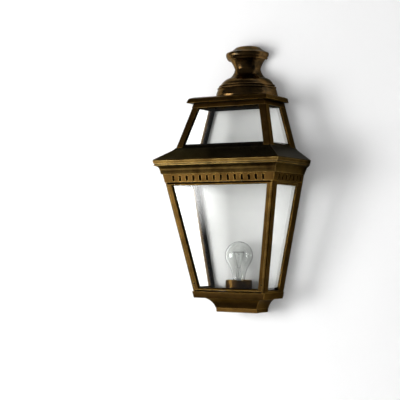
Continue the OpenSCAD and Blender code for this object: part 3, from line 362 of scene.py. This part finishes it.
def finish(name):
    """The material of that name, made once. The names differ from those of the frame's own materials."""
    if name in made:
        return made[name]
    colours = bpy.context.scene.lantern_colours
    sizes = bpy.context.scene.lantern_sizes
    makers = {
        "patinated_bronze": lambda: bronze(
            name, colours.patina, colours.rubbed, colours.shade,
            roughness=0.4, reach=sizes.crevice, deep=0.35),
        # The cornice: lighter colours that are partly a painted highlight on its fascia, and wide, deep
        # darkening that is painted shade in its cove
        "cornice_bronze_and_painted_light": lambda: bronze(
            name, colours.moulded, colours.cornice_rubbed_and_painted_highlight, colours.shade,
            roughness=0.38, reach=sizes.hollow, deep=0.8),
        "blackened_bronze": lambda: bronze(
            name, colours.dark_patina, colours.dark_rubbed, colours.dark_shade,
            roughness=0.26, reach=sizes.crevice, deep=0.45),
        # The chimney: a lighter copy of the bronze, partly a painted highlight
        "chimney_bronze_and_painted_highlight": lambda: bronze(
            name, colours.turned, colours.chimney_rubbed_and_painted_highlight, colours.dark_patina,
            roughness=0.22, reach=sizes.crevice, deep=0.45),
        "lacquered_sheet": lambda: lacquered_sheet(name, colours.sheet),
        "float_glass": lambda: clear_glass(name, colours.glass, wave=0.05),
        "blown_glass": lambda: clear_glass(name, colours.glass, wave=0.1),
        "pressed_glass": lambda: clear_glass(name, colours.glass, wave=0.3, roughness=0.35),
        "drawn_brass": lambda: metal(name, colours.brass, roughness=0.28, spot=sizes.brass_spot),
        "nickelled_steel": lambda: metal(name, colours.nickel, roughness=0.26, spot=sizes.steel_spot),
        "tungsten_wire": lambda: metal(name, colours.tungsten, roughness=0.4, spot=sizes.wire_spot),
        "glazed_porcelain": lambda: glazed_porcelain(name, colours.porcelain),
        "moulded_rubber": lambda: moulded_rubber(name, colours.rubber),
    }
    made[name] = makers[name]()
    return made[name]


# Pieces

# Edges that turn by fewer degrees than this are shaded smooth: on castings and sheet, on the blown
# bulb and on its pressed stem
SMOOTH_TURN = 32.0
BULB_TURN = 60.0
STEM_TURN = 50.0


def dress(node, material):
    """Gives a CAD node its finish."""
    mesh = frame["nodes"][node].data
    mesh.materials.clear()
    mesh.materials.append(finish(material))


def body_of(node):
    """The body that a node belongs to."""
    return frame["nodes"][node]["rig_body"]


def worked(node, material, edge, smooth_below=SMOOTH_TURN):
    """A copy of a node with its flat faces merged, its edges rounded and its curves shaded smooth.

    An edge radius of nothing leaves the edges as they are.
    """
    source = frame["nodes"][node].data
    form = bmesh.new()
    corners = [form.verts.new(v.co) for v in source.vertices]
    for polygon in source.polygons:
        form.faces.new([corners[i] for i in polygon.vertices])
    bmesh.ops.remove_doubles(form, verts=form.verts[:], dist=SAME_POINT)
    bmesh.ops.dissolve_degenerate(form, edges=form.edges[:], dist=SAME_POINT)
    bmesh.ops.dissolve_limit(form, angle_limit=math.radians(FLAT_TURN), verts=form.verts[:],
                             edges=form.edges[:])
    limit = math.radians(smooth_below)
    for face in form.faces:
        face.smooth = True
    for join in form.edges:
        join.smooth = edge > 0 or not join.is_manifold or join.calc_face_angle() < limit
    mesh = bpy.data.meshes.new(node + "_worked")
    form.to_mesh(mesh)
    form.free()
    piece = bpy.data.objects.new(node + "_worked", mesh)
    bpy.context.scene.collection.objects.link(piece)
    if edge > 0:
        rounding = piece.modifiers.new("edge", "BEVEL")
        rounding.width = edge
        rounding.segments = 2
        rounding.limit_method = "ANGLE"
        rounding.angle_limit = limit
        rounding.harden_normals = True
    mesh.materials.append(finish(material))
    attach(piece, body_of(node))
    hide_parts(node)
    return piece


class LANTERN_OT_castings(Operator):
    """Finish the tray, posts, frieze, cornice, rail and crown plate as aged bronze castings"""

    bl_idname = "lantern.castings"
    bl_label = "Castings"

    def execute(self, context):
        for node in CASTINGS:
            worked(node, "patinated_bronze", context.scene.lantern_sizes.cast_edge)
        # The cornice's finish holds a painted highlight on the fascia and painted shade in the cove
        worked("cornice", "cornice_bronze_and_painted_light", context.scene.lantern_sizes.cast_edge)
        return {"FINISHED"}


class LANTERN_OT_roofing(Operator):
    """Finish the roof as a casting that the weather has darkened"""

    bl_idname = "lantern.roofing"
    bl_label = "Roof"

    def execute(self, context):
        worked("roof", "blackened_bronze", context.scene.lantern_sizes.cast_edge)
        return {"FINISHED"}


class LANTERN_OT_chimney(Operator):
    """Finish the turned bell and cap of the chimney"""

    bl_idname = "lantern.chimney"
    bl_label = "Chimney"

    def execute(self, context):
        # Their lighter bronze is partly a painted highlight
        for node in ("chimney_bell", "chimney_cap"):
            worked(node, "chimney_bronze_and_painted_highlight", 0.0)
        return {"FINISHED"}


class LANTERN_OT_flap(Operator):
    """Finish the hinged front: its frame, glass, retainer and captive screws"""

    bl_idname = "lantern.flap"
    bl_label = "Hinged front"

    def execute(self, context):
        sizes = context.scene.lantern_sizes
        worked("flap_frame", "patinated_bronze", sizes.cast_edge)
        worked("flap_retainer", "blackened_bronze", sizes.sheet_edge)
        worked("flap_pane", "float_glass", sizes.glass_edge)
        dress("flap_screws", "blackened_bronze")
        return {"FINISHED"}


class LANTERN_OT_glazing(Operator):
    """Finish the fixed panes and the frames that hold them"""

    bl_idname = "lantern.glazing"
    bl_label = "Fixed glass"

    def execute(self, context):
        sizes = context.scene.lantern_sizes
        for node in PANES:
            worked(node, "float_glass", sizes.glass_edge)
        for node in RETAINERS:
            worked(node, "blackened_bronze", sizes.sheet_edge)
        return {"FINISHED"}


class LANTERN_OT_back(Operator):
    """Finish the back plate, the two reflectors and the cover of the foot"""

    bl_idname = "lantern.back"
    bl_label = "Back and reflectors"

    def execute(self, context):
        edge = context.scene.lantern_sizes.sheet_edge
        for node in ("body_reflector", "crown_reflector"):
            worked(node, "lacquered_sheet", edge)
        for node in ("back_plate", "base_cover"):
            worked(node, "blackened_bronze", edge)
        return {"FINISHED"}


class LANTERN_OT_bulb(Operator):
    """Finish the blown bulb, its stem, filament and cap"""

    bl_idname = "lantern.bulb"
    bl_label = "Bulb"

    def execute(self, context):
        worked("bulb_glass", "blown_glass", 0.0, BULB_TURN)
        worked("bulb_stem", "pressed_glass", 0.0, STEM_TURN)
        worked("bulb_cap", "drawn_brass", 0.0)
        dress("bulb_filament", "tungsten_wire")
        return {"FINISHED"}


class LANTERN_OT_lampholder(Operator):
    """Finish the cup, the lampholder and the wiring in the foot"""

    bl_idname = "lantern.lampholder"
    bl_label = "Lampholder and wiring"

    def execute(self, context):
        sizes = context.scene.lantern_sizes
        worked("lampholder_cup", "patinated_bronze", sizes.cast_edge)
        worked("lampholder_body", "glazed_porcelain", sizes.cast_edge)
        worked("terminal_block", "glazed_porcelain", sizes.sheet_edge)
        worked("cable_gland", "moulded_rubber", sizes.sheet_edge)
        for node in ("lampholder_shell", "lampholder_contact", "terminal_screws", "earth_screw"):
            dress(node, "drawn_brass")
        dress("holder_leads", "moulded_rubber")
        return {"FINISHED"}


class LANTERN_OT_fasteners(Operator):
    """Finish the screws, pins, rod and nut"""

    bl_idname = "lantern.fasteners"
    bl_label = "Fasteners"

    def execute(self, context):
        for node in STEEL_PARTS:
            dress(node, "nickelled_steel")
        return {"FINISHED"}


# The photograph's view, in the lantern's own frame
CAMERA_PLACE = Vector((1.21524, -2.23350, -0.13027))
CAMERA_YAW = 0.53974
CAMERA_PITCH = 0.03203
CAMERA_ROLL = 0.00528
CAMERA_LENS = 105.085
CAMERA_SENSOR = 36.0

# The soft box, in degrees to the left of the wall's normal and above the horizon. The hinged pane leans
# in at its foot, so it mirrors the box's lower right corner towards the camera.
BOX_SIDES = (29.8, 58.0)
BOX_ENDS = (-21.0, 13.0)
BOX_DISTANCE = 2.7
BOX_WATTS = 96.0
# Share of the box's width over which its cloth dims towards the rim
BOX_FADE = 0.16
# Strength of the world, except to the camera, in mirrors and through glass, where it is white
ROOM_LIGHT = 0.33

# White that the wall and the floor add to the camera, and what both add through glass and in mirrors
WALL_GLOW = 0.08
FLOOR_GLOW = 0.55
GLASS_GLOW = 0.6
MIRROR_GLOW = 0.12

# The wall and the floor reach this far to each side
WALL_HALF = 6.0
# The wall lies this far behind the back plate, and its opening this far inside the plate's outline
WALL_GAP = 0.6 * MM
RIM_INSET = 3 * MM
# A sharp corner of that outline is drawn in as if its half turn had at least this cosine
SHARPEST = 0.4

# Dark drapes on the camera's side, which the metal and the panes mirror: how light they are, half the
# width of the room that they make, where it begins in front of the wall, and how far it clears the floor
CLOTH_TONE = 0.1
CLOTH_HALF = 4.0
CLOTH_NEAR = -0.03
CLOTH_LIFT = 0.02


def camera_turn():
    """The camera's rotation from its yaw, pitch and roll."""
    ahead = Vector((-math.sin(CAMERA_YAW) * math.cos(CAMERA_PITCH),
                    math.cos(CAMERA_YAW) * math.cos(CAMERA_PITCH), math.sin(CAMERA_PITCH)))
    right = Vector((math.cos(CAMERA_YAW), math.sin(CAMERA_YAW), 0.0))
    up = right.cross(ahead)
    right, up = (right * math.cos(CAMERA_ROLL) + up * math.sin(CAMERA_ROLL),
                 up * math.cos(CAMERA_ROLL) - right * math.sin(CAMERA_ROLL))
    return Matrix((right, up, -ahead)).transposed()


def soft_box():
    """A large soft box at the front left, which faces the lantern."""
    side = math.radians(sum(BOX_SIDES) / 2)
    rise = math.radians(sum(BOX_ENDS) / 2)
    place = BOX_DISTANCE * Vector((-math.sin(side) * math.cos(rise), -math.cos(side) * math.cos(rise),
                                   math.sin(rise)))
    lamp = bpy.data.lights.new("soft_box", "AREA")
    lamp.shape = "RECTANGLE"
    lamp.size = 2 * BOX_DISTANCE * math.tan(math.radians(BOX_SIDES[1] - BOX_SIDES[0]) / 2)
    lamp.size_y = 2 * BOX_DISTANCE * math.tan(math.radians(BOX_ENDS[1] - BOX_ENDS[0]) / 2)
    lamp.energy = BOX_WATTS
    lamp.use_nodes = True
    tree = lamp.node_tree
    tree.nodes.clear()
    # The cloth of the box is dimmer near its rim
    spot = add(tree, "ShaderNodeNewGeometry").outputs["Parametric"]
    across = add(tree, "ShaderNodeSeparateXYZ", {}, {0: spot})
    fades = []
    for way in ("X", "Y"):
        off = add(tree, "ShaderNodeMath", {"operation": "SUBTRACT", 1: 0.5},
                  {0: across.outputs[way]}).outputs[0]
        apart = add(tree, "ShaderNodeMath", {"operation": "ABSOLUTE"}, {0: off}).outputs[0]
        fades.append(add(tree, "ShaderNodeMapRange",
                         {"interpolation_type": "SMOOTHSTEP", "From Min": 0.5, "From Max": 0.5 - BOX_FADE},
                         {"Value": apart}).outputs[0])
    level = add(tree, "ShaderNodeMath", {"operation": "MULTIPLY"},
                {0: fades[0], 1: fades[1]}).outputs[0]
    light = add(tree, "ShaderNodeEmission", {}, {"Strength": level}).outputs[0]
    add(tree, "ShaderNodeOutputLight", links={"Surface": light})
    holder = bpy.data.objects.new("soft_box", lamp)
    holder.location = place
    holder.rotation_mode = "QUATERNION"
    holder.rotation_quaternion = (-place).to_track_quat("-Z", "Y")
    holder.visible_camera = False
    bpy.context.scene.collection.objects.link(holder)


def back_rim():
    """The outline of the lantern's back, as points of x and z on the wall, in order."""
    form = bmesh.new()
    form.from_mesh(frame["nodes"]["back_plate"].data)
    bmesh.ops.remove_doubles(form, verts=form.verts[:], dist=SAME_POINT)
    rear = {v for v in form.verts if abs(v.co.y) < ON_BACK}
    ways = {}
    for join in form.edges:
        flat = [all(v in rear for v in face.verts) for face in join.link_faces]
        if sorted(flat) == [False, True]:
            for v in join.verts:
                ways.setdefault(v, []).append(join.other_vert(v))
    # The outline is the loop that holds the lowest corner
    start = min(ways, key=lambda v: (v.co.z, v.co.x))
    loop = [start]
    step = ways[start][0]
    while step is not start:
        before = loop[-1]
        loop.append(step)
        step = next(v for v in ways[step] if v is not before)
    points = [Vector((v.co.x, v.co.z)) for v in loop]
    form.free()
    turning = sum(a.x * b.y - b.x * a.y for a, b in zip(points, points[1:] + points[:1]))
    return points if turning > 0 else points[::-1]


def inset(points, by):
    """The same closed outline, drawn in by a distance."""
    drawn = []
    for before, here, after in zip(points[-1:] + points[:-1], points, points[1:] + points[:1]):
        way_in = (here - before).normalized()
        way_out = (after - here).normalized()
        middle = (way_in + way_out).normalized()
        drawn.append(here + Vector((-middle.y, middle.x)) * by / max(SHARPEST, middle.dot(way_in)))
    return drawn


def stage_piece(name, points, faces, material):
    """A piece of the stage, made of points and faces."""
    mesh = bpy.data.meshes.new(name)
    mesh.from_pydata(points, [], faces)
    mesh.materials.append(material)
    piece = bpy.data.objects.new(name, mesh)
    bpy.context.scene.collection.objects.link(piece)
    piece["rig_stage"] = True
    return piece


def stage_sheet(name, loops, place, facing, material):
    """A flat sheet that faces one way: the first loop of 2-D points is its rim, any others are holes."""
    form = bmesh.new()
    for loop in loops:
        corners = [form.verts.new(place(p)) for p in loop]
        for here, after in zip(corners, corners[1:] + corners[:1]):
            form.edges.new((here, after))
    bmesh.ops.triangle_fill(form, use_beauty=True, use_dissolve=False, edges=form.edges[:], normal=facing)
    form.verts.index_update()
    faces = []
    for face in form.faces:
        face.normal_update()
        order = [v.index for v in face.verts]
        faces.append(order if face.normal.dot(facing) > 0 else order[::-1])
    points = [v.co.copy() for v in form.verts]
    form.free()
    return stage_piece(name, points, faces, material)


def drapes(low):
    """Dark cloth round the camera's side of the room.

    Only rays that something has mirrored find it: it lights nothing and hides nothing.
    """
    weave = bpy.context.scene.lantern_sizes.weave
    cloth, tree, place = new_material("dark_cloth")
    folds = add(tree, "ShaderNodeTexNoise", {"Scale": 1 / weave}, {"Vector": place}).outputs["Fac"]
    tone = add(tree, "ShaderNodeMapRange", {"To Min": 0.8 * CLOTH_TONE, "To Max": 1.2 * CLOTH_TONE},
               {"Value": folds}).outputs["Result"]
    dark = add(tree, "ShaderNodeEmission", {}, {"Strength": tone}).outputs[0]
    clear = add(tree, "ShaderNodeBsdfTransparent").outputs[0]
    mirrored = add(tree, "ShaderNodeMath", {"operation": "GREATER_THAN", 1: 0.5},
                   {0: add(tree, "ShaderNodeLightPath").outputs["Glossy Depth"]}).outputs[0]
    show(tree, add(tree, "ShaderNodeMixShader", {}, {0: mirrored, 1: clear, 2: dark}).outputs[0])
    near, far = CLOTH_NEAR, -CLOTH_HALF
    corners = [Vector((x, y, z)) for z in (low, low + 2 * CLOTH_HALF) for y in (near, far)
               for x in (-CLOTH_HALF, CLOTH_HALF)]
    # The floor, the ceiling, the side that faces the lantern, the left and the right
    sides = [(0, 1, 3, 2), (4, 6, 7, 5), (2, 3, 7, 6), (0, 2, 6, 4), (1, 5, 7, 3)]
    room = stage_piece("drapes", corners, sides, cloth)
    room.visible_camera = False
    room.visible_diffuse = False
    room.visible_volume_scatter = False
    room.visible_shadow = False


def matt_wall(name, colour, glow, clear_behind):
    """Matt white emulsion, put on with a roller.

    The eye sees an even white. It glows a little for the camera, so that it stays
    white and keeps the lantern's shadow. One that is clear from behind hides
    nothing from a camera there.
    """
    sizes = bpy.context.scene.lantern_sizes
    material, tree, place = new_material(name)
    roller = add(tree, "ShaderNodeTexNoise", {"Scale": 1 / sizes.roller, "Detail": 2.0},
                 {"Vector": place}).outputs["Fac"]
    tone = add(tree, "ShaderNodeMapRange", {"To Min": 0.985, "To Max": 1.0},
               {"Value": roller}).outputs["Result"]
    paint = add(tree, "ShaderNodeMix",
                {"data_type": "RGBA", "blend_type": "MULTIPLY", 0: 1.0, 6: opaque(colour)},
                {7: tone}).outputs[2]
    matt = add(tree, "ShaderNodeBsdfDiffuse", {}, {"Color": paint}).outputs[0]
    # Glass takes some of the white away, so the wall gives more behind it and in it
    path = add(tree, "ShaderNodeLightPath")
    strength = add(tree, "ShaderNodeMath", {"operation": "MULTIPLY", 1: glow},
                   {0: path.outputs["Is Camera Ray"]}).outputs[0]
    for ray, share in (("Is Transmission Ray", GLASS_GLOW), ("Is Glossy Ray", MIRROR_GLOW)):
        strength = add(tree, "ShaderNodeMath", {"operation": "MULTIPLY_ADD", 1: share},
                       {0: path.outputs[ray], 2: strength}).outputs[0]
    light = add(tree, "ShaderNodeEmission", {}, {"Strength": strength}).outputs[0]
    shader = add(tree, "ShaderNodeAddShader", {}, {0: matt, 1: light}).outputs[0]
    if clear_behind:
        behind = add(tree, "ShaderNodeNewGeometry").outputs["Backfacing"]
        clear = add(tree, "ShaderNodeBsdfTransparent").outputs[0]
        shader = add(tree, "ShaderNodeMixShader", {}, {0: behind, 1: shader, 2: clear}).outputs[0]
    show(tree, shader)
    return material


def make_world():
    """White to the camera, in mirrors and through glass, and a plain soft light on everything else."""
    world = bpy.data.worlds.new("studio")
    world.use_nodes = True
    tree = world.node_tree
    tree.nodes.clear()
    path = add(tree, "ShaderNodeLightPath")
    seen = path.outputs["Is Camera Ray"]
    for ray in ("Is Transmission Ray", "Is Glossy Ray"):
        seen = add(tree, "ShaderNodeMath", {"operation": "MAXIMUM"},
                   {0: seen, 1: path.outputs[ray]}).outputs[0]
    strength = add(tree, "ShaderNodeMapRange", {"To Min": ROOM_LIGHT, "To Max": 1.0},
                   {"Value": seen}).outputs[0]
    light = add(tree, "ShaderNodeBackground", {"Color": (1.0, 1.0, 1.0, 1.0)},
                {"Strength": strength}).outputs[0]
    add(tree, "ShaderNodeOutputWorld", links={"Surface": light})
    bpy.context.scene.world = world


class LANTERN_OT_stage(Operator):
    """Set up the wall, the floor, the lamps and the photograph's camera"""

    bl_idname = "lantern.stage"
    bl_label = "Wall, light and camera"

    def execute(self, context):
        scene = context.scene
        camera = bpy.data.objects.new("camera", bpy.data.cameras.new("camera"))
        camera.data.lens = CAMERA_LENS
        camera.data.sensor_width = CAMERA_SENSOR
        camera.matrix_world = Matrix.Translation(CAMERA_PLACE) @ camera_turn().to_4x4()
        scene.collection.objects.link(camera)
        scene.camera = camera
        scene.view_settings.view_transform = "Standard"

        colour = scene.lantern_colours.wall
        half = WALL_HALF
        square = [(-half, -half), (half, -half), (half, half), (-half, half)]
        # The wall is open behind the back plate, so that a view from behind finds the back lit
        stage_sheet("wall", [square, inset(back_rim(), RIM_INSET)], lambda p: Vector((p[0], WALL_GAP, p[1])),
                    Vector((0.0, -1.0, 0.0)), matt_wall("matt_wall", colour, WALL_GLOW, clear_behind=True))
        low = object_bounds()[0].z - scene.lantern_sizes.floor_drop
        stage_sheet("floor", [square], lambda p: Vector((p[0], p[1], low)), Vector((0.0, 0.0, 1.0)),
                    matt_wall("matt_floor", colour, FLOOR_GLOW, clear_behind=False))
        drapes(low + CLOTH_LIFT)
        soft_box()
        make_world()
        return {"FINISHED"}


class LANTERN_PT_panel(Panel):
    """Lists the lantern's pieces and its finishes"""

    bl_label = "Wall Light"
    bl_idname = "LANTERN_PT_panel"
    bl_space_type = "VIEW_3D"
    bl_region_type = "UI"
    bl_category = "Wall Light"

    def draw(self, context):
        layout = self.layout
        for operator in OPERATORS:
            layout.operator(operator.bl_idname)
        for group in (context.scene.lantern_sizes, context.scene.lantern_colours):
            box = layout.box()
            for name in group.__annotations__:
                box.prop(group, name)


OPERATORS = (
    LANTERN_OT_castings,
    LANTERN_OT_roofing,
    LANTERN_OT_chimney,
    LANTERN_OT_flap,
    LANTERN_OT_glazing,
    LANTERN_OT_back,
    LANTERN_OT_bulb,
    LANTERN_OT_lampholder,
    LANTERN_OT_fasteners,
    LANTERN_OT_stage,
)
CLASSES = (LanternSizes, LanternColours, *OPERATORS, LANTERN_PT_panel)


def register():
    for kind in CLASSES:
        bpy.utils.register_class(kind)
    bpy.types.Scene.lantern_sizes = PointerProperty(type=LanternSizes)
    bpy.types.Scene.lantern_colours = PointerProperty(type=LanternColours)


def unregister():
    del bpy.types.Scene.lantern_colours
    del bpy.types.Scene.lantern_sizes
    for kind in reversed(CLASSES):
        bpy.utils.unregister_class(kind)


def main():
    """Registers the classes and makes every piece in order."""
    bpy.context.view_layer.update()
    register()
    for operator in OPERATORS:
        group, name = operator.bl_idname.split(".")
        getattr(getattr(bpy.ops, group), name)()
    bpy.context.view_layer.update()


if __name__ == "__main__":
    main()
